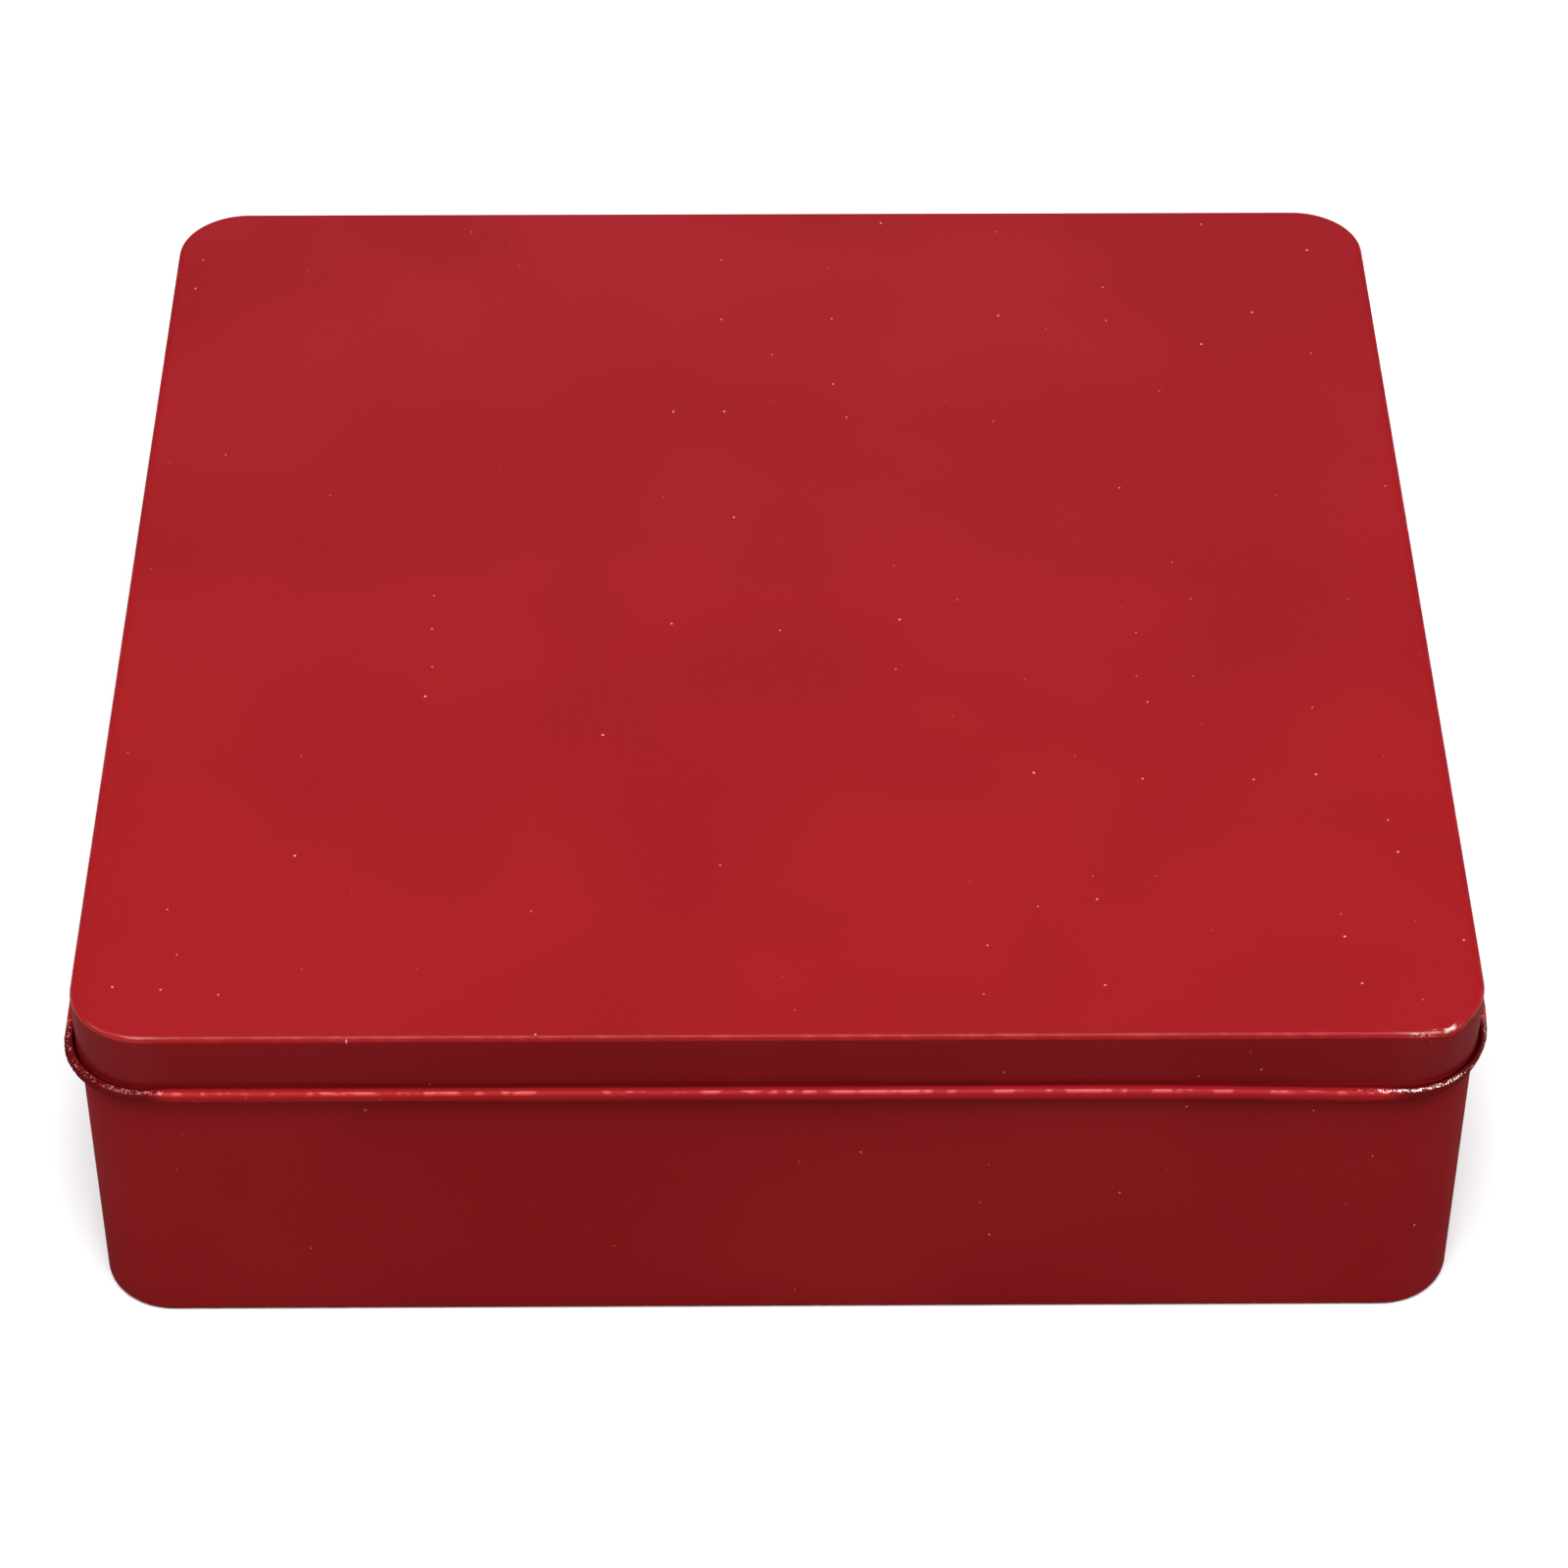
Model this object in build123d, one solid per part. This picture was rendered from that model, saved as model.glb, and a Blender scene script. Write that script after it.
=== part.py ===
"""A square slip-lid cookie tin, folded from three pieces of tinplate.

Frame: millimetres, +Z up, the front faces -Y, and the origin is the middle of the underside,
on the surface that the tin stands on. The side wall's lock seam is in the middle of the back.

    lid        one drawn sheet: flat panel, short skirt, edge rolled outward
    side_wall  one strip wrapped into a rounded square: top edge rolled inward, ends hooked
               together in a flattened lock seam, bottom edge rolled inward under the base
    base       one drawn sheet with a raised panel, its rim rolled up inside the wall's bottom roll
"""
from build123d import *
import math
import os

# ---- driving dimensions -------------------------------------------------------------------
sheet = 0.25          # tinplate thickness
seam_gap = 0.03       # air between two layers that are folded into each other
body_width = 225.0    # side wall, outside face to outside face, both ways
body_corner = 12.0    # outside radius of the wall's upright corners
total_height = 64.0   # lid on, from the surface it stands on to the top of the lid
lid_clearance = 0.30  # between the lid's skirt and the side wall, each side
lid_rest_gap = 0.10   # between the lid's panel and the wall's top roll
lid_depth = 12.8      # lid's top face to the lowest point of its rolled edge

# ---- rolls and bends, as radii of the sheet's middle surface --------------------------------
lid_edge_bend = 0.775     # panel into skirt
lid_roll = 0.975          # the lid's edge, rolled outward
lid_roll_turn = 305       # degrees
wall_roll = 0.85          # the wall's top edge, rolled inward
wall_roll_turn = 300      # degrees
foot_bend = 0.90          # the wall's bottom edge, two bends either side of a flat
foot_flat = 0.80          # the flat strip that the tin stands on
foot_leg = 0.40           # the wall's end, standing up inside the foot

# ---- base ----------------------------------------------------------------------------------
base_rim_height = 2.60    # middle surface of the base beside the wall
base_rise = 1.00          # how far the raised panel stands above that
base_rim_bend = 0.45
base_step_angle = 40      # slope of the step up to the raised panel, in degrees
base_step_bend = 0.80
base_flat_rim = 4.00      # flat strip between the wall and the step
base_flange_end = 0.10    # the base's end, standing up inside the wall's foot

# ---- lock seam in the middle of the back -------------------------------------------------------
hook = 3.0                # how far the two hooks overlap
seam_end_clear = 1.0      # plain wall left above the base and below the top roll
jog_angle = 60            # slope of the wall where it steps in behind the other end
jog_start = 1.55          # from the outer end's fold to the start of the step

# ---- worked out ---------------------------------------------------------------------------
half = sheet / 2
layer = sheet + seam_gap
plate_inset = 9.5         # the rounded corner pieces reach this far in, and flat plate fills the rest

wall_width = body_width - sheet                       # middle surface of the wall
wall_corner = body_corner - half
wall_height = total_height - sheet - lid_rest_gap     # to the top of the wall's roll
skirt_width = body_width + 2 * lid_clearance + sheet  # middle surface of the lid's skirt
skirt_corner = body_corner + lid_clearance + half


class Strip:
    """A folded sheet seen end-on: the sheet's middle line, walked in straight runs and bends."""

    def __init__(self, x, y, heading):
        self.x, self.y, self.heading = x, y, heading
        self.left, self.right = [], []

    def point(self, side, angle=None, x=None, y=None):
        """The point half a sheet to one side of (x, y), or of where the walk stands."""
        a = math.radians(self.heading if angle is None else angle)
        x, y = self.x if x is None else x, self.y if y is None else y
        return (x - side * half * math.sin(a), y + side * half * math.cos(a))

    def go(self, length):
        """A straight run."""
        starts = self.point(1), self.point(-1)
        self.x += length * math.cos(math.radians(self.heading))
        self.y += length * math.sin(math.radians(self.heading))
        self.left.append(Line(starts[0], self.point(1)))
        self.right.append(Line(starts[1], self.point(-1)))
        return self

    def turn(self, radius, degrees):
        """A bend to the left, or to the right where degrees is negative."""
        way = 1 if degrees > 0 else -1
        across = math.radians(self.heading + 90)
        centre = (self.x + way * radius * math.cos(across), self.y + way * radius * math.sin(across))

        def on_bend(share):
            a = math.radians(self.heading - way * 90 + share * degrees)
            return centre[0] + radius * math.cos(a), centre[1] + radius * math.sin(a)

        for side, edges in ((1, self.left), (-1, self.right)):
            stops = []
            for share in (0, 0.5, 1):
                x, y = on_bend(share)
                stops.append(self.point(side, self.heading + share * degrees, x, y))
            edges.append(ThreePointArc(*stops))
        self.x, self.y = on_bend(1)
        self.heading += degrees
        return self

    def face(self):
        """The strip's closed outline, filled."""
        starts = Line(self.left[0] @ 0, self.right[0] @ 0)
        ends = Line(self.left[-1] @ 1, self.right[-1] @ 1)
        return Face(Wire([starts, *self.left, ends, *self.right]))


def folded_ring(section, width, corner):
    """An end-on section carried round a rounded square. Its x is measured outward from the square."""
    upright = Plane.XZ * section
    straight = width - 2 * corner
    bend = revolve(Pos(X=corner) * upright, Axis.Z, 90)
    side = extrude(Pos(X=width / 2, Y=straight / 2) * upright, amount=straight)
    quarter = side + Pos(straight / 2, straight / 2) * bend
    return sum((Rot(Z=90 * i) * quarter for i in range(1, 4)), quarter)


def plate(width, corner, middle):
    """Flat sheet inside a folded ring, its middle surface at that height."""
    outline = RectangleRounded(width - 2 * plate_inset, width - 2 * plate_inset, corner - plate_inset)
    return extrude(Pos(Z=middle - half) * outline, amount=sheet)


def lid():
    """Panel, skirt and an edge rolled outward through most of a circle."""
    top = total_height - half
    skirt = lid_depth - sheet - lid_edge_bend - lid_roll
    section = Strip(-plate_inset, top, 0).go(plate_inset - lid_edge_bend).turn(lid_edge_bend, -90)
    section = section.go(skirt).turn(lid_roll, lid_roll_turn).face()
    return folded_ring(section, skirt_width, skirt_corner) + plate(skirt_width, skirt_corner, top)


def lock_seam():
    """The two hooked ends of the side wall in plan, and the gap that they leave in the back wall."""
    outer = wall_width / 2
    fold_x = hook / 2
    jog_x = fold_x + jog_start
    jog_bend = 3 * layer / (2 * (1 - math.cos(math.radians(jog_angle))))
    jog_length = 2 * jog_bend * math.sin(math.radians(jog_angle))
    left_end = Strip(fold_x, outer, 0).turn(layer, -180).go(hook - seam_gap)
    right_end = Strip(jog_x, outer, 180).turn(jog_bend, jog_angle).turn(jog_bend, -jog_angle)
    right_end = right_end.go(jog_x - jog_length + hook / 2).turn(layer, -180).go(hook - seam_gap)
    return left_end.face(), right_end.face(), fold_x, jog_x


def side_wall():
    """The wrapped strip, its ends hooked together at the back."""
    leg_x = -(2 * foot_bend + foot_flat)
    foot_height = half + foot_bend
    section = Strip(leg_x, foot_height + foot_leg, -90).go(foot_leg).turn(foot_bend, 90).go(foot_flat)
    section = section.turn(foot_bend, 90).go(wall_height - half - wall_roll - foot_height)
    section = section.turn(wall_roll, wall_roll_turn).face()
    ring = folded_ring(section, wall_width, wall_corner)

    left_end, right_end, fold_x, jog_x = lock_seam()
    low = base_rim_height + half + seam_end_clear
    high = wall_height - 2 * (wall_roll + half) - seam_end_clear
    gap = Box(jog_x - fold_x, 2 * sheet, high - low, align=(Align.MIN, Align.CENTER, Align.MIN))
    slit = Box(5 * seam_gap, 12 * sheet, total_height, align=(Align.MIN, Align.MAX, Align.MIN))
    ring -= Pos(fold_x, wall_width / 2, low) * gap
    ring -= Pos(fold_x, wall_width / 2 + sheet, 0) * slit
    hooks = [extrude(Pos(Z=low) * end, amount=high - low) for end in (left_end, right_end)]
    return ring + hooks[0] + hooks[1]


def base():
    """Raised panel, flat rim, and a flange rolled up inside the wall's foot."""
    raised = base_rim_height + base_rise
    slope = math.radians(base_step_angle)
    step_drop = 2 * base_step_bend * (1 - math.cos(slope))
    step_slope = (base_rise - step_drop) / math.sin(slope)
    step_run = 2 * base_step_bend * math.sin(slope) + step_slope * math.cos(slope)
    flat_rim = base_flat_rim - base_rim_bend
    flange_bend = foot_bend - layer
    flange = base_rim_height - base_rim_bend - half - foot_bend

    section = Strip(-plate_inset, raised, 0).go(plate_inset - step_run - base_flat_rim)
    section = section.turn(base_step_bend, -base_step_angle).go(step_slope)
    section = section.turn(base_step_bend, base_step_angle).go(flat_rim).turn(base_rim_bend, -90)
    section = section.go(flange).turn(flange_bend, -90).go(foot_flat).turn(flange_bend, -90)
    section = section.go(base_flange_end).face()
    width, corner = wall_width - 2 * layer, wall_corner - layer
    return folded_ring(section, width, corner) + plate(width, corner, raised)


os.makedirs("parts", exist_ok=True)
for name, make in (("lid", lid), ("side_wall", side_wall), ("base", base)):
    export_step(make(), f"parts/{name}.step")
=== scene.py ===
# %% [markdown]
# # A square cookie tin in red lacquer
#
# The tin is three pieces of tinplate a quarter of a millimetre thick: a lid, a side wall and a base.
# Each is made here the way a tinsmith makes it, by folding a flat sheet, and what shows is the
# result of those folds: rolled edges, rounded corners, the seam down the back.
# This first cell loads the engineered model as a fixed frame. The new pieces take their places and
# sizes from it and ride on its bodies, so the lid still lifts off when the joint moves.

# %% Load the frame
import math

import bmesh
import bpy
from mathutils import Matrix, Vector, noise


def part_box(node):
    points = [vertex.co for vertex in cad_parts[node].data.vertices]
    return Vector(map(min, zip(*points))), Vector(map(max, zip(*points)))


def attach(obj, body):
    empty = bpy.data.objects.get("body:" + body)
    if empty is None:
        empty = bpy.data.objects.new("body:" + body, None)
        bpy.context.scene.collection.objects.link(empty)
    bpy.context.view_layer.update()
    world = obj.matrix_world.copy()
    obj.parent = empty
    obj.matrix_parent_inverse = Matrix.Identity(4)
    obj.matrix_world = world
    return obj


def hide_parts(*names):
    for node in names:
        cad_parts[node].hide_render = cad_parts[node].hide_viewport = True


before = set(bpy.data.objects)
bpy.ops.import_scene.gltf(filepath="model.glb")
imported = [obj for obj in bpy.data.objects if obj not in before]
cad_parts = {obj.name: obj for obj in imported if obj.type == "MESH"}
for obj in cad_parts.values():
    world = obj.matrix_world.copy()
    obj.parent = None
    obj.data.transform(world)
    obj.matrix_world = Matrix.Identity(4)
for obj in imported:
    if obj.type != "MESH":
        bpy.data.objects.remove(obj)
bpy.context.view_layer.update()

MM = 0.001
lid_low, lid_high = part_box("lid")
wall_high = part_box("side_wall")[1]
base_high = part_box("base")[1]

# %% [markdown]
# ## Camera
#
# A camera is easiest to place the way a photographer does it: choose the spot to aim at, turn and
# tilt the tripod head, then step back along the line of sight. A long lens from 85 centimetres
# keeps the far edge of the lid from shrinking much. The view is from the front, looking down at a
# little over 40 degrees, so the lid is the main thing seen. The lens could be shifted to place the
# tin in the frame, but a shift would put it off centre from every other side, so the camera is
# aimed a little in front of the tin's middle instead.

# %% Camera
aim = Vector((1.68, -17.11, 32.0)) * MM
distance = 845.7 * MM
turn_right, look_down, lean = (math.radians(degrees) for degrees in (0.51, 41.70, 0.13))
frame_side = 1600
focal_length_in_frame = 4868

camera = bpy.data.objects.new("camera", bpy.data.cameras.new("camera"))
camera.data.sensor_width = 36
camera.data.lens = camera.data.sensor_width * focal_length_in_frame / frame_side
camera.data.clip_start = 10 * MM
head = Matrix.Rotation(-turn_right, 4, "Z") @ Matrix.Rotation(math.pi / 2 - look_down, 4, "X")
head = head @ Matrix.Rotation(lean, 4, "Z")
camera.matrix_world = Matrix.Translation(aim) @ head @ Matrix.Translation((0, 0, distance))
bpy.context.scene.collection.objects.link(camera)
bpy.context.scene.camera = camera
print("lens", round(camera.data.lens, 1), "mm")

# %% [markdown]
# ## Folding sheet metal
#
# A folded part could be drawn as a solid with two walls, but a sheet is simpler: one surface, the
# middle of the metal, which gets its thickness at the end. All three pieces are made with one tool.
# It holds the sheet's growing edge and knows two moves: a straight run drags the edge forward, and
# a bend swings it round a centre. Both are `bmesh.ops.spin`, which sweeps whatever it is given and
# fills in the edges or faces between. The tool serves twice. On a single vertex it draws the
# section of a rolled edge, and on that whole section it carries it round a corner of the tin.

# %% The folding tool
UP, RIGHT, BACK = Vector((0, 0, 1)), Vector((1, 0, 0)), Vector((0, 1, 0))


class Folder:
    """Carries an edge of the sheet along straight runs and round bends about one axis."""

    def __init__(self, mesh, edge, place, heading, axis):
        self.mesh, self.edge, self.axis = mesh, edge, axis
        self.place, self.heading = Vector(place), Vector(heading)

    def sweep(self, centre, steps, angle=0.0, step=(0, 0, 0)):
        swept = bmesh.ops.spin(
            self.mesh, geom=self.edge, cent=centre, axis=self.axis, angle=angle, dvec=step, steps=steps
        )
        self.edge = swept["geom_last"]

    def run(self, length, steps=1):
        """Straight on."""
        self.sweep(self.place, steps, step=self.heading * (length / steps))
        self.place = self.place + self.heading * length
        return self

    def bend(self, radius, degrees, steps):
        """Round a centre that far to the left, or to the right where degrees is negative."""
        angle = math.radians(degrees)
        centre = self.place + self.axis.cross(self.heading) * math.copysign(radius, angle)
        self.sweep(centre, steps, angle=angle)
        swing = Matrix.Rotation(angle, 3, self.axis)
        self.place = centre + swing @ (self.place - centre)
        self.heading = swing @ self.heading
        return self


# %% [markdown]
# ## Round the tin
#
# Lid, wall and base share one plan: a square with rounded corners. Sweeping the section all the way
# round in one go works, but every step of a sweep looks through the whole mesh, so it slows down as
# the mesh grows. One side and one corner are quick. `duplicate` and `rotate` make the other three
# quarters, and `remove_doubles` welds them. The two ends of a side can have finer steps, for the
# pleats that spread out of a corner.

# %% One side and corner, four times
sheet = 0.25 * MM
weld = sheet / 50


def new_section(y, z, heading):
    """A mesh with one vertex, ready to fold, behind the tin's middle: +Y is outward there."""
    mesh = bmesh.new()
    vertex = bmesh.ops.create_vert(mesh, co=(0, y, z))["vert"]
    return mesh, Folder(mesh, vertex, (0, y, z), heading, RIGHT)


def carry_round(mesh, half, corner, side_steps, corner_steps, end=0.0, end_steps=0):
    """Sweeps the section in mesh along a side and round a corner, and copies that three times."""
    straight = half - corner
    bmesh.ops.translate(mesh, verts=mesh.verts, vec=RIGHT * -straight)
    section = mesh.verts[:] + mesh.edges[:]
    sweep = Folder(mesh, section, (-straight, half, 0), RIGHT, UP)
    for length, steps in ((end, end_steps), (2 * (straight - end), side_steps), (end, end_steps)):
        if steps:
            sweep.run(length, steps)
    sweep.bend(corner, -90, corner_steps)
    quarter = mesh.verts[:] + mesh.edges[:] + mesh.faces[:]
    for turns in (1, 2, 3):
        copy = bmesh.ops.duplicate(mesh, geom=quarter)["geom"]
        copied = [part for part in copy if isinstance(part, bmesh.types.BMVert)]
        turned = Matrix.Rotation(turns * math.pi / 2, 3, "Z")
        bmesh.ops.rotate(mesh, verts=copied, cent=(0, 0, 0), matrix=turned)
    bmesh.ops.remove_doubles(mesh, verts=mesh.verts, dist=weld)


def past_outline(point, half, corner):
    """Where a rounded square passes nearest to a point, which way is out, and how far out it is."""
    core = half - corner
    inner = Vector((max(-core, min(core, point.x)), max(-core, min(core, point.y)), 0))
    out = Vector((point.x, point.y, 0)) - inner
    way = out.normalized()
    return inner + way * corner, way, out.length - corner


print("sheet", sheet / MM, "mm thick, points welded within", weld / MM, "mm")

# %% [markdown]
# ## The flat panel
#
# The section starts over the corner's own centre, so the rim's inner edge is a plain square hole.
# One big face would fill it, but a stamped panel is never dead flat, and to let it sag a little it
# needs points inside. A plain grid gives those. It is much coarser than the rim, and
# `triangle_fill` joins the two across a narrow margin whatever their numbers of points.

# %% Panel
panel_cells = 40
panel_margin = 5 * MM
panel_ripple = 70 * MM


def fill_panel(mesh, z, sag):
    """Fills the square hole at height z with a grid that sags, a margin in from the hole's edge."""
    rim = [e for e in mesh.edges if e.is_boundary and abs(e.verts[0].co.z - z) < weld]
    reach = max(abs(v.co.x) for e in rim for v in e.verts) - panel_margin
    place = Matrix.Translation(UP * z)
    panel = bmesh.ops.create_grid(
        mesh, x_segments=panel_cells, y_segments=panel_cells, size=reach, matrix=place
    )["verts"]
    border = {e for v in panel for e in v.link_edges if e.is_boundary}
    bmesh.ops.triangle_fill(mesh, edges=rim + list(border), normal=UP, use_beauty=True)
    for vertex in panel:
        x, y = vertex.co.x / reach, vertex.co.y / reach
        bowl = (1 - x**4) * (1 - y**4)
        uneven = 0.5 + 0.5 * noise.noise(vertex.co / panel_ripple)
        vertex.co.z -= sag * bowl * uneven
    print("panel", round(2 * reach / MM, 1), "mm across, down by up to", sag / MM, "mm")


# %% [markdown]
# ## From mesh to piece
#
# The finished sheet's faces are turned outward while it is still a single layer, because the
# outside of a thin closed shell is ambiguous. Then it becomes an object, and Solidify adds the
# thickness, half on each side. The modifier's rim gets a slot of its own for the bare metal of the
# cut edge, which the lacquer doesn't cover.


# %% Piece
def make_piece(name, mesh, coats, body, node):
    """Turns the sheet's faces outward, thickens it and hands it to its body."""
    bmesh.ops.recalc_face_normals(mesh, faces=mesh.faces)
    for face in mesh.faces:
        face.smooth = True
    data = bpy.data.meshes.new(name)
    mesh.to_mesh(data)
    mesh.free()
    for coat in coats:
        data.materials.append(coat)
    piece = bpy.data.objects.new(name, data)
    bpy.context.scene.collection.objects.link(piece)
    thickness = piece.modifiers.new("thickness", "SOLIDIFY")
    thickness.thickness, thickness.offset, thickness.use_even_offset = sheet, 0, True
    thickness.material_offset_rim = 1
    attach(piece, body)
    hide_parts(node)
    print(name, "rides on", body, "with", len(data.polygons), "faces in the sheet")


# %% [markdown]
# ## Shader arithmetic
#
# A material is a network of nodes, but what it says is usually arithmetic: this mask times that
# noise, one minus the rest. `Tone` lets Python write it that way. It wraps a socket, and each
# operator on it adds the Math node that does the sum. `Coat` holds one material; its `node` method
# adds any other node from its type, its settings and its sockets.


# %% Tones and coats
class Tone:
    """A number that varies over the surface. Arithmetic on it adds Math nodes."""

    def __init__(self, coat, socket):
        self.coat, self.socket = coat, socket

    def maths(self, operation, first, second):
        return self.coat.node("ShaderNodeMath", {"operation": operation}, {0: first, 1: second})

    def __add__(self, other):
        return self.maths("ADD", self, other)

    def __sub__(self, other):
        return self.maths("SUBTRACT", self, other)

    def __rsub__(self, other):
        return self.maths("SUBTRACT", other, self)

    def __mul__(self, other):
        return self.maths("MULTIPLY", self, other)

    def __gt__(self, other):
        return self.maths("GREATER_THAN", self, other)

    def __lt__(self, other):
        return self.maths("LESS_THAN", self, other)

    def __abs__(self):
        return self.maths("ABSOLUTE", self, 0)

    __radd__, __rmul__ = __add__, __mul__

    def least(self, other):
        return self.maths("MINIMUM", self, other)

    def most(self, other):
        return self.maths("MAXIMUM", self, other)

    def fade(self, start, end):
        """0 at start, 1 at end and smooth between."""
        settings = {"interpolation_type": "SMOOTHSTEP"}
        sockets = {"Value": self, "From Min": start, "From Max": end}
        return self.coat.node("ShaderNodeMapRange", settings, sockets)

    def band(self, start, full, ending, end):
        """Fades in from start to full and out again from ending to end."""
        return self.fade(start, full) * self.fade(end, ending)


class Coat:
    """One material, built node by node on Object coordinates."""

    def __init__(self, name):
        self.material = bpy.data.materials.new(name)
        self.material.use_nodes = True
        self.tree = self.material.node_tree
        self.shader = self.tree.nodes["Principled BSDF"]
        self.place = self.node("ShaderNodeTexCoord", output="Object")
        self.x, self.y, self.z = (
            self.node("ShaderNodeSeparateXYZ", sockets={0: self.place}, output=axis) for axis in "XYZ"
        )

    def node(self, kind, settings=None, sockets=None, output=0):
        """Adds a node, sets it up, fills or links its sockets and gives its output as a Tone."""
        added = self.tree.nodes.new(kind)
        for name, value in (settings or {}).items():
            setattr(added, name, value)
        for name, value in (sockets or {}).items():
            self.fill(added.inputs[name], value)
        return Tone(self, added.outputs[output])

    def fill(self, socket, value):
        if isinstance(value, Tone):
            self.tree.links.new(value.socket, socket)
        else:
            socket.default_value = value

    def mix(self, amount, first, second):
        """Blends two colours: none of the second at 0, all of it at 1."""
        # A Mix node has sockets for every kind of value. Its colours go into 6 and 7 and leave by 2.
        sockets = {0: amount, 6: first, 7: second}
        return self.node("ShaderNodeMix", {"data_type": "RGBA"}, sockets, output=2)

    def cloud(self, size, detail=2.0):
        """Noise from 0 to 1 whose lumps are about that size."""
        sockets = {"Vector": self.place, "Scale": 1 / size, "Detail": detail}
        return self.node("ShaderNodeTexNoise", sockets=sockets)

    def marked(self, name):
        """A number that was stored with each point of the mesh under that name."""
        return self.node("ShaderNodeAttribute", {"attribute_name": name}, output="Fac")

    def paint(self, **sockets):
        for name, value in sockets.items():
            self.fill(self.shader.inputs[name.replace("_", " ")], value)


print("a Tone for each number, a Coat for each material")

# %% [markdown]
# ## Dust under the lacquer
#
# Sprayed lacquer always catches some dust. Each grain stands up as a pale dot a few tenths of a
# millimetre wide. A Voronoi texture scatters points evenly enough: one in each cell of a grid. Its
# Color output is three random numbers for each cell, and they say whether the cell has a grain at
# all and how big it is. The texture is two-dimensional, because a flat panel would cut most of the
# points of a three-dimensional one too high or too low, so the walls are unrolled first.

# %% Dust
dust_cell = 10 * MM
dust_smallest, dust_spread, dust_edge = 0.10 * MM, 0.18 * MM, 0.08 * MM
ragged_size, crowd_size = 0.25 * MM, 90 * MM
least_chance, crowd_chance = 0.10, 0.30


def dust(coat, flat_above):
    """1 on a grain of dust. Above that height the skin is flat, and below it is upright."""
    on_flat = coat.z > flat_above
    across = coat.x + (1 - on_flat) * coat.y
    along = on_flat * coat.y + (1 - on_flat) * coat.z
    skin = coat.node("ShaderNodeCombineXYZ", sockets={0: across, 1: along})
    sockets = {"Vector": skin, "Scale": 1 / dust_cell}
    cells = {"voronoi_dimensions": "2D"}
    distance = coat.node("ShaderNodeTexVoronoi", cells, sockets, output="Distance") * dust_cell
    dice = coat.node("ShaderNodeTexVoronoi", cells, sockets, output="Color")
    chance = coat.node("ShaderNodeSeparateColor", sockets={0: dice}, output="Red")
    large = coat.node("ShaderNodeSeparateColor", sockets={0: dice}, output="Green")
    radius = dust_smallest + large * large * dust_spread
    ragged = (coat.cloud(ragged_size) - 0.5) * dust_smallest
    crowded = coat.cloud(crowd_size, detail=0).fade(0.35, 0.65)
    here = chance < least_chance + crowd_chance * crowded
    return (radius - distance + ragged).fade(0, dust_edge) * here


print("one grain of dust at most in each", round(dust_cell / MM), "mm cell")

# %% [markdown]
# ## Red lacquer
#
# The colour is a deep red, because the lacquer takes up nearly all the green and blue. It is a
# satin that mirrors very little. The shader's Specular is one number for a whole material, but the
# gloss here changes from place to place, so Specular is off and Coat, a clear layer on top whose
# weight may vary, does all the mirroring: a few per cent of it everywhere, and more where a mask
# asks for gloss. Grain and mottle vary the depth of the colour, and a fine orange peel goes into
# the bump. The other masks say where painted shade darkens a piece, where it is pale from rubbed
# wear or from a painted highlight, where dust or painted glints make pink dots, and where it is
# cracked to the metal or carries white painted glints.

# %% Lacquer
RED, PALE_RED, DUST_AND_GLINT_PINK = (0.180, 0.0060, 0.0074), (0.31, 0.020, 0.022), (0.55, 0.22, 0.22)
TIN_AND_GLINT_WHITE = (0.86, 0.84, 0.80)
satin = 0.035
grain_size, mottle_size, peel_size = 0.35 * MM, 60 * MM, 0.9 * MM


def paint_colour(rgb, strength=1.0):
    return tuple(strength * part for part in rgb) + (1,)


def red_lacquer(coat, flat_above, painted_shade=None, wear_and_highlight=None, cracks_and_glints=None, glossy=None, painted_pink_glints=None):
    """Finishes a coat as satin red lacquer, with a mask or None for each kind of difference."""
    grain, mottle = coat.cloud(grain_size, detail=3), coat.cloud(mottle_size).fade(0.35, 0.65)
    specks = dust(coat, flat_above)
    colour = coat.mix(0.6 * grain + 0.4 * mottle, paint_colour(RED, 0.88), paint_colour(RED, 1.10))
    # painted shade: the mask darkens the red towards a tenth of itself
    if painted_shade:
        colour = coat.mix(painted_shade, colour, paint_colour(RED, 0.1))
    # pale red for rubbed wear and for painted highlights
    if wear_and_highlight:
        colour = coat.mix(wear_and_highlight, colour, paint_colour(PALE_RED))
    # pink for dust specks and for painted glints on the pleats
    colour = coat.mix((0.7 * specks).most(painted_pink_glints or 0), colour, paint_colour(DUST_AND_GLINT_PINK))
    # near-white for lacquer cracked to the metal and for painted white glints
    if cracks_and_glints:
        colour = coat.mix(cracks_and_glints, colour, paint_colour(TIN_AND_GLINT_WHITE))
        coat.paint(Metallic=0.2 * cracks_and_glints)
    coat.paint(Coat_Weight=satin * (0.75 + 0.5 * mottle) + (glossy or 0), Coat_Roughness=0.2)
    height = 0.5 * coat.cloud(peel_size) + 0.4 * grain + 8 * specks
    bumps = {"Strength": 0.5, "Distance": 0.01 * MM, "Height": height}
    coat.paint(Base_Color=colour, Roughness=0.36 + 0.08 * (grain - 0.5))
    coat.paint(Normal=coat.node("ShaderNodeBump", sockets=bumps))
    coat.paint(Specular_IOR_Level=0.0)
    return coat.material


print("lacquer", RED, "wear_and_highlight", PALE_RED)

# %% [markdown]
# ## The cut edge
#
# Lacquer goes on before the sheet is cut, so an edge shows bare metal a quarter of a millimetre
# wide. It is the only place where the tin is silver. The shears leave it slightly uneven, which a
# fine noise in its colour and roughness shows.

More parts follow.
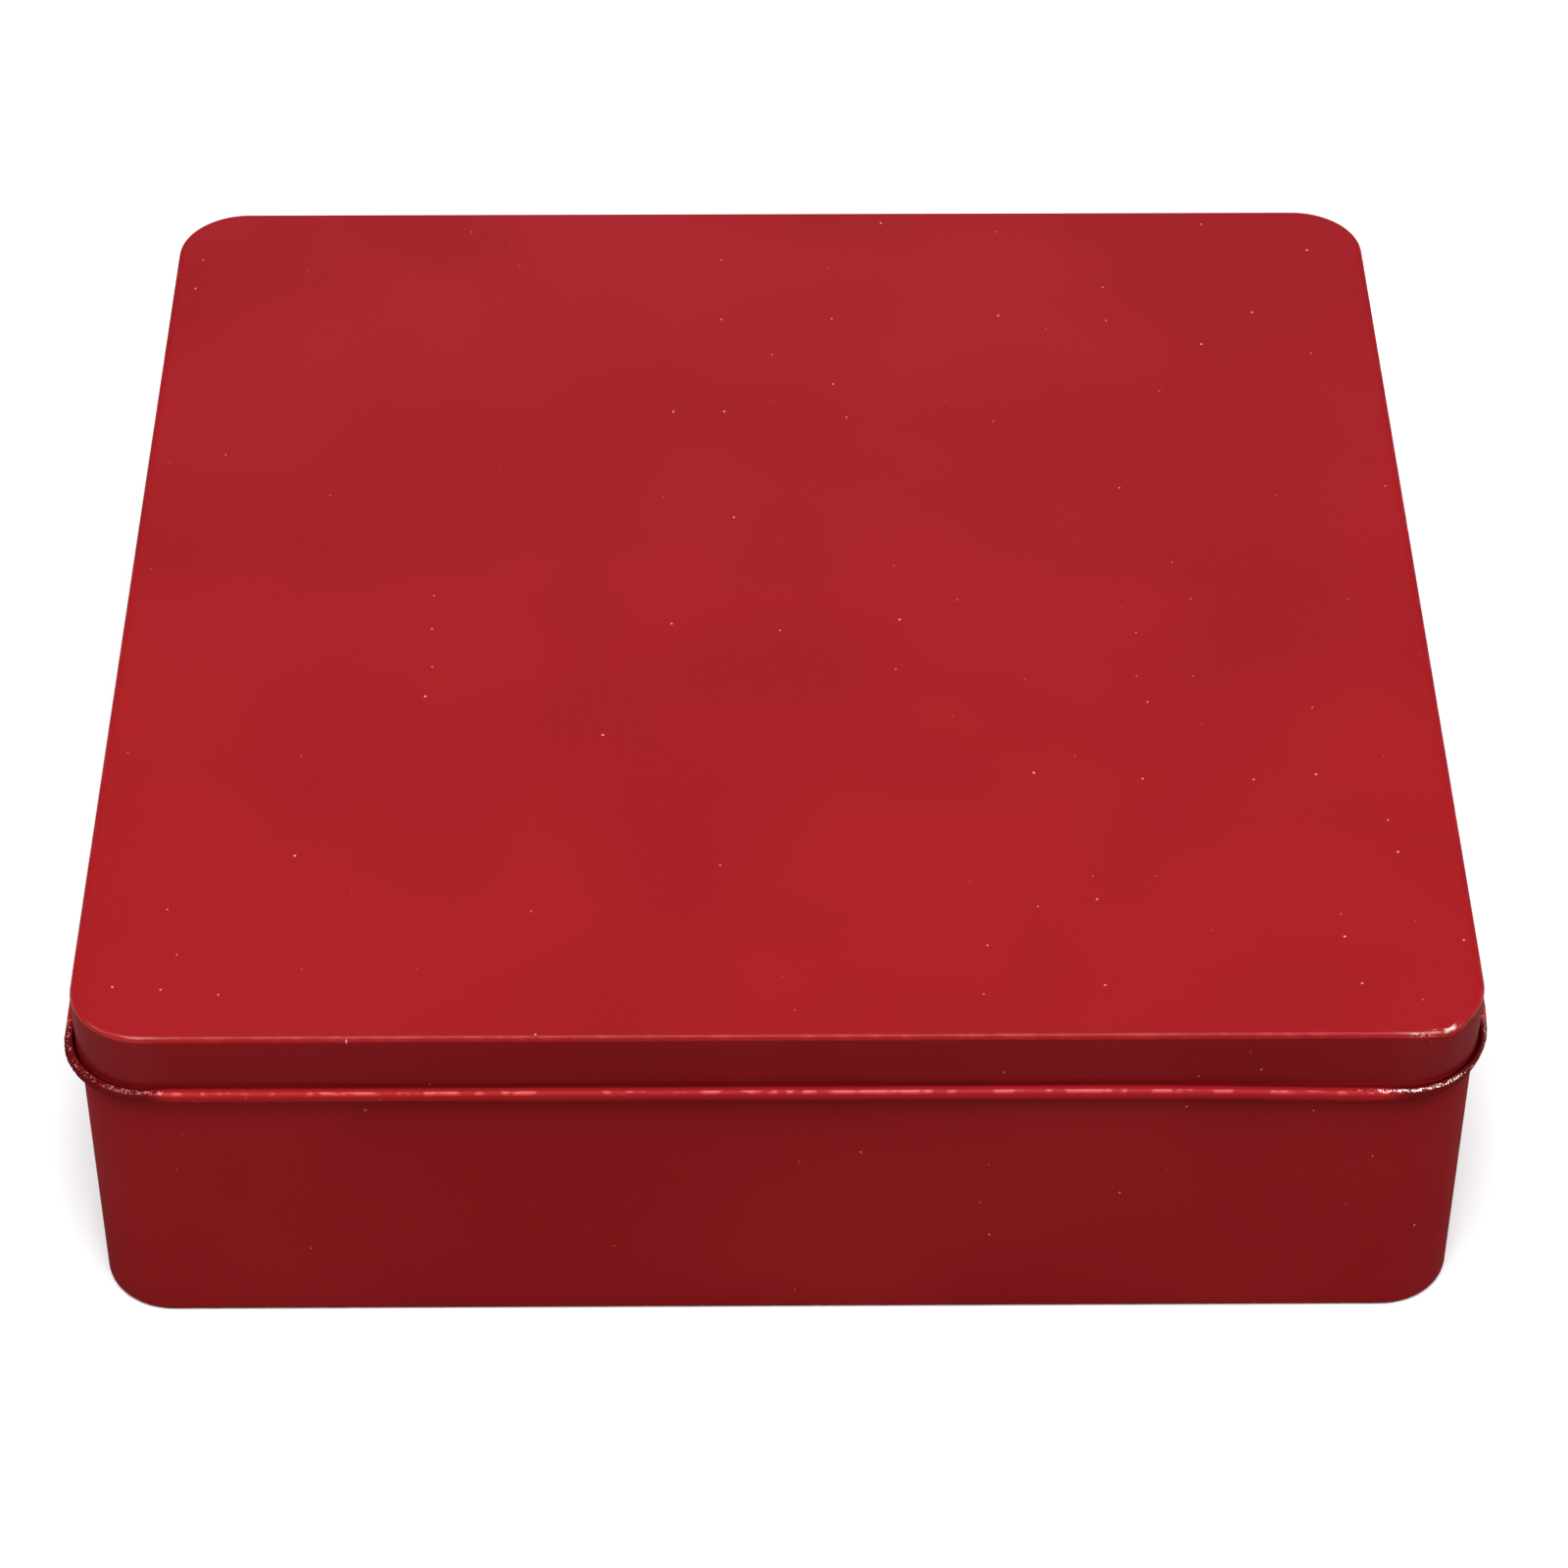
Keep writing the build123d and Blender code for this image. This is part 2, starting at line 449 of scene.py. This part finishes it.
# %% Bare metal
edge_coat = Coat("cut_edge")
shear_marks = edge_coat.cloud(0.3 * MM)
dull, clean = paint_colour(TIN_AND_GLINT_WHITE, 0.7), paint_colour(TIN_AND_GLINT_WHITE)
edge_coat.paint(Base_Color=edge_coat.mix(shear_marks, dull, clean), Roughness=0.25 + 0.2 * shear_marks)
edge_coat.paint(Metallic=1.0)
cut_edge = edge_coat.material
print("material", cut_edge.name)

# %% [markdown]
# ## The lid: folding
#
# The lid is the flat top, a tight bend, a skirt 11 mm deep, and a roll that curls outward and up
# until its cut edge meets the skirt. The roll stiffens the rim and hides the sharp edge. It could
# be a torus laid round a box, but then the crevice behind the roll would be missing, and that dark
# line is what makes a folded rim look folded. The whole section is one chain of moves.

# %% Fold the lid
lid_edge_bend, lid_roll, lid_corner = 0.775 * MM, 0.975 * MM, 12.425 * MM
lid_curl = 305
dent_room = 3 * MM
lid_half = lid_high.x - 2 * lid_roll - sheet / 2
lid_top = lid_high.z - sheet / 2
roll_z = lid_low.z + sheet / 2 + lid_roll
skirt = lid_top - lid_edge_bend - roll_z

mesh, rim = new_section(lid_half - lid_corner, lid_top, BACK)
rim.run(lid_corner - lid_edge_bend - dent_room).run(dent_room, 5).bend(lid_edge_bend, -90, 6)
rim.run(skirt, 2).bend(lid_roll, lid_curl, 16)
carry_round(mesh, lid_half, lid_corner, side_steps=80, corner_steps=150, end=8 * MM, end_steps=50)
fill_panel(mesh, lid_top, sag=0.15 * MM)
print("skirt", round(skirt / MM, 2), "mm straight, roll", round(2 * (lid_roll + sheet / 2) / MM, 2), "mm")

# %% [markdown]
# ## The lid: knocked corner
#
# Handmade work and a working life show in a tin. This lid has had a knock at its front right
# corner. It pushed the bend out there and left a small dent in the top just behind, flattened the
# roll on the corner's right, and pushed the roll before the corner down by three quarters of a
# millimetre, fading out along the front. Each is a move of the points, weighted by a bell curve of
# the distance, so it has no edge.

# %% Knock the corner
core = lid_half - lid_corner
drop, drop_spot = 0.75 * MM, Vector((98 * MM, -lid_half, 0))
reach_left, reach_right = 24 * MM, 9 * MM
squash, squash_reach, squash_turn = 0.5, 6.5 * MM, math.radians(60)
bulge, bulge_reach, bulge_turn = 0.8 * MM, 3.2 * MM, math.radians(28)
dent, dent_reach = 0.35 * MM, 0.9 * MM


def bell(distance, reach):
    """1 at no distance, and nearly nothing at twice the reach."""
    return math.exp(-((distance / reach) ** 2))


def corner_spot(turn, inward):
    """A spot on the front right corner, turned that far from the front, on the flat plan."""
    way = Vector((math.sin(turn), -math.cos(turn), 0))
    return Vector((core, -core, 0)) + way * (lid_corner - inward)


def dropped(spot):
    """How far the knock pushed the roll down at that spot of the outline."""
    reach = reach_left if spot.x < drop_spot.x else reach_right
    return drop * bell((spot - drop_spot).length, reach)


squash_spot = corner_spot(squash_turn, 0)
bulge_spot = corner_spot(bulge_turn, 0) + UP * (lid_top - lid_edge_bend)
dent_spot = corner_spot(bulge_turn, lid_edge_bend) + UP * lid_top
for vertex in mesh.verts:
    spot, way, out = past_outline(vertex.co, lid_half, lid_corner)
    down = min(1, max(0, (lid_top - lid_edge_bend - vertex.co.z) / (skirt - lid_roll))) ** 2
    vertex.co -= way * max(0, out) * squash * bell((spot - squash_spot).length, squash_reach)
    vertex.co -= UP * (dropped(spot) * down + dent * bell((vertex.co - dent_spot).length, dent_reach))
    vertex.co += way * bulge * bell((vertex.co - bulge_spot).length, bulge_reach)
print("roll down by", drop / MM, "mm before the front right corner, dent", dent / MM, "mm")

# %% [markdown]
# ## The lid: pleats
#
# Rolling an edge outward does nothing to its length along a straight side, but round a corner the
# metal has to gather, and it does so in fine pleats about half a millimetre apart, where the
# lacquer cracks. Along the sides the roll is only a little wavy. Both are made by sinking each
# point towards the middle of the roll. The ridges come from noise: the places where it crosses zero
# are sharp crests once the sign is dropped. The function also stores three numbers with each point,
# for the material to read: how far round the roll it is, how near to the pleats, how far round the
# top bend.

# %% Pleat the roll
pleat_pitch, wave_length = 0.4 * MM, 4 * MM
pleat_depth, wave_depth = 0.16, 0.03
crest_sharpness = 2.5
another_noise = UP * 7
short_reach, long_reach = 2.5 * MM, 6 * MM


def corner_share(spot):
    """1 on a corner, and less along the sides. It reaches furthest beside the front right one."""
    into_side = max(0, core - min(abs(spot.x), abs(spot.y)))
    on_front_right = spot.x > 0 > spot.y and abs(spot.y) > abs(spot.x)
    return bell(into_side, long_reach if on_front_right else short_reach)


def pleat_roll(mesh):
    curl, pleated, edge = (mesh.verts.layers.float.new(name) for name in ("curl", "pleated", "edge"))
    for vertex in mesh.verts:
        spot, way, out = past_outline(vertex.co, lid_half, lid_corner)
        above_skirt = vertex.co.z - (lid_top - lid_edge_bend)
        if above_skirt > -weld and out > -lid_edge_bend - weld:
            vertex[edge] = math.sin(2 * math.atan2(above_skirt, out + lid_edge_bend))
        middle = spot + way * lid_roll + UP * (roll_z - dropped(spot))
        if vertex.co.z > middle.z + lid_roll + weld or out < lid_roll / 50:
            continue
        facing = math.degrees(math.atan2(vertex.co.z - middle.z, out - lid_roll))
        share = corner_share(spot)
        ridge = max(0, 1 - crest_sharpness * abs(noise.noise(spot / pleat_pitch)))
        wave = 0.5 + 0.5 * noise.noise(spot / wave_length + another_noise)
        vertex[curl] = ((facing + 180) % 360) / lid_curl
        vertex[pleated] = share
        sink = pleat_depth * (1 - ridge) * share + wave_depth * wave
        vertex.co = middle + (vertex.co - middle) * (1 - sink * min(1, out / lid_roll))
    print("pleats", round(pleat_depth * lid_roll / MM, 2), "mm deep")


pleat_roll(mesh)

# %% [markdown]
# ## The lid: finish
#
# The skirt is a shade deeper than the top: painted shade. The top bend is a little glossy, most of
# all on the corners, where the die ironed the lacquer as it drew the metal round, and its colour
# carries a pale painted highlight. The roll has pale painted highlights in patches a few
# millimetres long on its upper side. On the corners painted shade makes it dark, nearly black in
# the crevice, and along the pleats run rows of fine dots: pale pink painted glints, and at the front
# right white ones, painted glints and lacquer cracked to the tinplate. The knock scuffed the bend
# there too, and a white painted glint sits where it stands out beside the dent.

# %% Lid lacquer
corner_start, corner_full = 96 * MM, 101 * MM
skirt_foot, skirt_head, blend = roll_z + 1 * MM, lid_top - 0.7 * MM, 0.1 * MM
bend_front, dots_thin_from, dots_thin_to = -109 * MM, -110 * MM, -107 * MM
scuff_band = [x * MM for x in (99, 101, 103, 105)]
glint_band = [x * MM for x in (105.0, 106.1, 106.5, 107.5)]

lid_coat = Coat("lid_lacquer")
at_corner = abs(lid_coat.x).least(abs(lid_coat.y)).fade(corner_start, corner_full)
front_right = (lid_coat.x > 0) * (lid_coat.y < 0)
curl, pleated, edge = (lid_coat.marked(name) for name in ("curl", "pleated", "edge"))
on_roll = curl > 0.02
on_skirt = lid_coat.z.band(skirt_foot - blend, skirt_foot + blend, skirt_head - blend, skirt_head + blend)
on_panel = lid_coat.z > lid_top - 0.4 * MM
patches = lid_coat.cloud(2.6 * MM, detail=1).fade(0.46, 0.62)
specks, pink_glint_noise = lid_coat.cloud(0.3 * MM, detail=1), lid_coat.cloud(0.45 * MM, detail=1)
roll_top = curl.band(0.68, 0.72, 0.80, 0.84)
# painted shade: the skirt and the roll on the corners are darkened, and the crevice nearly to black
crevice = curl.fade(0.90, 0.96)
lid_painted_shade = (0.38 * on_skirt * (1 - on_roll)).most(0.65 * on_roll * at_corner).most(crevice * at_corner)
# painted highlight: pale red along the top bend and in patches on the roll's upper side
lid_painted_highlight = roll_top * (1 - at_corner) * (0.3 + 0.7 * patches) + edge * (0.1 + 0.2 * patches)
bend_spot = edge.fade(0.3, 0.9) * front_right * (lid_coat.y < bend_front)
# painted glint: a white spot on the top bend beside the dent
glint = edge.fade(0.45, 0.85) * bend_spot * lid_coat.x.band(*glint_band)
scuff = bend_spot * lid_coat.x.band(*scuff_band) * specks.fade(0.55, 0.65)
lid_gloss = edge * (0.03 + 0.05 * patches + 0.4 * at_corner) + 0.25 * roll_top * patches + 0.5 * glint
lid_gloss = lid_gloss + 0.04 * on_panel + 0.04 * on_skirt * at_corner
# pink painted glints along the pleats of the corners
pink_dots = pleated.fade(0.05, 0.3) * curl.band(0.74, 0.78, 0.87, 0.91) * pink_glint_noise.fade(0.58, 0.63)
# white painted glints along the pleats at the front right, with lacquer cracked to the tinplate
white_dots = pleated.fade(0.4, 0.7) * front_right * curl.band(0.77, 0.80, 0.86, 0.89)
white_dots = white_dots * specks.fade(0.57, 0.61)
white_dots = white_dots * (1 - 0.8 * lid_coat.y.fade(dots_thin_from, dots_thin_to))
lid_cracks_and_glints = white_dots.most(0.2 * scuff).most(0.5 * glint)
lid_pink_glints = (0.5 + 0.2 * front_right) * pink_dots
masks = {"painted_shade": lid_painted_shade, "wear_and_highlight": lid_painted_highlight, "cracks_and_glints": lid_cracks_and_glints, "glossy": lid_gloss}
lid_finish = red_lacquer(lid_coat, lid_high.z - 1 * MM, painted_pink_glints=lid_pink_glints, **masks)
make_piece("tin_lid", mesh, [lid_finish, cut_edge], "lid", "lid")

# %% [markdown]
# ## The side wall: folding
#
# One strip goes all round. From the bottom, it starts inside the foot, turns under and up to make a
# narrow ring that the tin stands on, rises straight, and rolls inward at the mouth, out of the way
# of the lid. It could be a plain tube, because at rest the lid hides the mouth, but the roll shows
# as soon as the lid is lifted off.

# %% Fold the wall
seam_gap = 0.03 * MM
layer = sheet + seam_gap
wall_roll, wall_corner = 0.85 * MM, 11.875 * MM
foot_bend, foot_flat, foot_leg = 0.9 * MM, 0.8 * MM, 0.4 * MM
wall_half = wall_high.x - sheet / 2
foot_height = sheet / 2 + foot_bend
roll_start = wall_high.z - sheet / 2 - wall_roll
base_rim_top, seam_margin = 2.725 * MM, 1 * MM
seam_low, seam_high = base_rim_top + seam_margin, roll_start - wall_roll - sheet / 2 - seam_margin

mesh, foot = new_section(wall_half - 2 * foot_bend - foot_flat, foot_height + foot_leg, -UP)
foot.run(foot_leg).bend(foot_bend, 90, 5).run(foot_flat).bend(foot_bend, 90, 5)
foot.run(seam_low - foot_height).run(seam_high - seam_low, 4).run(roll_start - seam_high)
foot.bend(wall_roll, 300, 12)
carry_round(mesh, wall_half, wall_corner, side_steps=40, corner_steps=80)
print("wall", round(2 * wall_high.x / MM, 1), "mm across and", round(wall_high.z / MM, 2), "mm high")

# %% [markdown]
# ## The side wall: the lock seam
#
# The strip's ends meet in the middle of the back. Each is folded into a hook 3 mm wide, the hooks
# catch each other, and the seam is pressed flat, so it holds without solder. First the plain tube
# is cut open: three `bisect_plane` cuts mark the slit and the stretch that the hooks will use, and
# the faces there are deleted. The seam stops short of the roll and the foot, where four layers
# would be too thick to turn.

# %% Cut the back open
hook, jog_room = 3 * MM, 1.55 * MM
slit_low = hook / 2
slit_high = slit_low + 5 * seam_gap
jog_start = slit_low + jog_room


def back_faces():
    middles = ((face, face.calc_center_median()) for face in mesh.faces)
    return [face for face, middle in middles if middle.y > 0 and abs(middle.x) < 10 * hook]


def in_seam(face):
    middle = face.calc_center_median()
    upright = middle.y > wall_half - weld and seam_low < middle.z < seam_high
    return slit_low < middle.x < (jog_start if upright else slit_high)


for x in (slit_low, slit_high, jog_start):
    faces = back_faces()
    around = {part for face in faces for part in (*face.edges, *face.verts)}
    bmesh.ops.bisect_plane(mesh, geom=faces + list(around), dist=weld, plane_co=(x, 0, 0), plane_no=RIGHT)
opening = [face for face in back_faces() if in_seam(face)]
bmesh.ops.delete(mesh, geom=opening, context="FACES")
print("seam opening", round(jog_room / MM, 2), "mm wide")

# %% [markdown]
# ## The side wall: hooks
#
# The folding tool makes the hooks from the two cut edges. The left end turns back on itself,
# towards the inside. The right end steps in by a layer and a half, runs behind it, and turns back
# the other way, so that each hook ends inside the other with a hair of clearance all round.

# %% Hook the ends together
jog_angle = 60
jog_turn = math.radians(jog_angle)
jog_bend = 3 * layer / (2 * (1 - math.cos(jog_turn)))
jog_length = 2 * jog_bend * math.sin(jog_turn)


def seam_edge(x):
    """The open edge at that x between the seam's ends, with its vertices, for the folder."""
    def on_it(vertex):
        place = vertex.co
        level = seam_low - weld < place.z < seam_high + weld
        return level and abs(place.x - x) < weld and place.y > wall_half - weld

    edges = [edge for edge in mesh.edges if edge.is_boundary and all(on_it(v) for v in edge.verts)]
    return edges + list({vertex for edge in edges for vertex in edge.verts})


left_hook = Folder(mesh, seam_edge(slit_low), (slit_low, wall_half, 0), RIGHT, UP)
left_hook.bend(layer, -180, 8).run(hook - seam_gap)
right_hook = Folder(mesh, seam_edge(jog_start), (jog_start, wall_half, 0), -RIGHT, UP)
right_hook.bend(jog_bend, jog_angle, 5).bend(jog_bend, -jog_angle, 5)
right_hook.run(jog_start - jog_length + hook / 2).bend(layer, -180, 8).run(hook - seam_gap)
print("hooks", hook / MM, "mm wide, step", round(3 * layer / 2 / MM, 2), "mm deep")

# %% [markdown]
# ## The side wall: finish
#
# The wall is plain satin lacquer, with painted shade that makes it a little darker than the lid's
# top. It is rubbed in three places: the rolled mouth, which the lid slides over, the foot, which
# shelves scrape down to the metal in spots, and the two folded edges of the seam.

# %% Wall lacquer
wall_coat = Coat("wall_lacquer")
wear = wall_coat.cloud(2.5 * MM).fade(0.40, 0.62)
on_mouth = wall_coat.z.fade(wall_high.z - 0.45 * MM, wall_high.z - 0.1 * MM)
on_foot = wall_coat.z.fade(0.35 * MM, 0.05 * MM)
seam_line = abs(abs(wall_coat.x) - hook / 2 - 0.1 * MM).fade(0.35 * MM, 0.1 * MM)
on_seam = seam_line * (wall_coat.y > wall_half - 1 * MM)
wall_rub = (on_mouth * (0.3 + 0.7 * wear)).most(on_foot).most(0.5 * on_seam * wear)
bare_foot = on_foot * wall_coat.cloud(0.8 * MM).fade(0.56, 0.62)
# painted shade darkens the whole wall a little
masks = {"painted_shade": 0.15, "wear_and_highlight": wall_rub, "cracks_and_glints": bare_foot, "glossy": 0.2 * on_mouth}
wall_finish = red_lacquer(wall_coat, wall_high.z, **masks)
make_piece("tin_side_wall", mesh, [wall_finish, cut_edge], "tin", "side_wall")

# %% [markdown]
# ## The base
#
# The base is a shallow pan. Its middle is a panel raised one millimetre, which keeps it stiff, and
# its rim turns down and is clinched between the layers of the wall's foot, 0.03 mm clear of them.
# The same folder draws it: in along the panel, down a sloping step, out along the rim, and down
# and round into the foot.

# %% Fold the base
base_half = base_high.x - sheet / 2
base_corner = wall_corner - layer
base_top = base_high.z - sheet / 2
base_rise, step_bend, step_angle = 1 * MM, 0.8 * MM, 40
rim_bend, rim_flat, flange_end = 0.45 * MM, 4 * MM, 0.1 * MM
slope = math.radians(step_angle)
step_slope = (base_rise - 2 * step_bend * (1 - math.cos(slope))) / math.sin(slope)
step_run = 2 * step_bend * math.sin(slope) + step_slope * math.cos(slope)
flange_bend = foot_bend - layer
flange = base_top - base_rise - rim_bend - foot_height

mesh, rim = new_section(base_half - base_corner, base_top, BACK)
rim.run(base_corner - step_run - rim_flat).bend(step_bend, -step_angle, 4).run(step_slope)
rim.bend(step_bend, step_angle, 4).run(rim_flat - rim_bend).bend(rim_bend, -90, 4)
rim.run(flange).bend(flange_bend, -90, 4).run(foot_flat).bend(flange_bend, -90, 4).run(flange_end)
carry_round(mesh, base_half, base_corner, side_steps=40, corner_steps=24)
fill_panel(mesh, base_top, sag=0.2 * MM)
base_coat = Coat("base_lacquer")
panel_rub = 0.15 * base_coat.z.fade(base_top - 0.4 * MM, base_top) * base_coat.cloud(14 * MM).fade(0.4, 0.7)
base_finish = red_lacquer(base_coat, 0, wear_and_highlight=panel_rub)
make_piece("tin_base", mesh, [base_finish, cut_edge], "tin", "base")

# %% [markdown]
# ## Floor
#
# A roll of white paper, matt and without a horizon. It is more than a background: the front of the
# tin faces away from the big light, and the paper throws some of that light back at it.

# %% Paper floor
floor_mesh = bmesh.new()
bmesh.ops.create_grid(floor_mesh, x_segments=1, y_segments=1, size=4)
floor_data = bpy.data.meshes.new("floor")
floor_mesh.to_mesh(floor_data)
floor_mesh.free()
floor = bpy.data.objects.new("floor", floor_data)
bpy.context.scene.collection.objects.link(floor)
paper = Coat("white_paper")
paper.paint(Base_Color=paint_colour((1, 1, 1), 0.68), Roughness=1.0, Specular_IOR_Level=0.0)
floor_data.materials.append(paper.material)
print("floor", floor_data.materials[0].name)

# %% [markdown]
# ## Light
#
# One big soft light overhead does most of the work, forward of the tin so that the lid is a little
# darker towards the back. A smaller one in front and high up draws the bright line along the roll
# and the top bend. A soft window low on the left and a small lamp on the right light the corners.
# Behind the tin, a dim white wall veils the middle of the lid a little, and a low blue sheet shows as
# a cool sheen on its far end.

# %% Lamps
scene = bpy.context.scene
scene.view_settings.view_transform = "Standard"
world = bpy.data.worlds.new("studio")
world.use_nodes = True
sky = world.node_tree.nodes["Background"]
sky.inputs["Color"].default_value = paint_colour((0.85, 0.92, 1))
sky.inputs["Strength"].default_value = 0.06
scene.world = world


def soft_light(name, place, size, power, colour=(1, 1, 1)):
    """A square light panel that faces the tin."""
    lamp = bpy.data.lights.new(name, "AREA")
    lamp.size, lamp.energy, lamp.color = size, power, colour
    light = bpy.data.objects.new(name, lamp)
    light.location = place
    light.rotation_euler = Vector(place).to_track_quat("Z", "Y").to_euler()
    scene.collection.objects.link(light)
    print(name, power, "W at", place)


soft_light("overhead", (0, -0.46, 1.6), 1.4, 57)
soft_light("front_key", (0, -0.78, 1.42), 0.45, 5)
soft_light("left_window", (-1.15, -0.36, 0.88), 0.6, 4)
soft_light("right_lamp", (1.22, -0.18, 0.85), 0.12, 4)
soft_light("back_sheet", (0, 1.4, 0.75), 0.7, 2.5, (0.35, 0.5, 1))
soft_light("back_wall", (0, 1.35, 1.3), 0.9, 2.5)
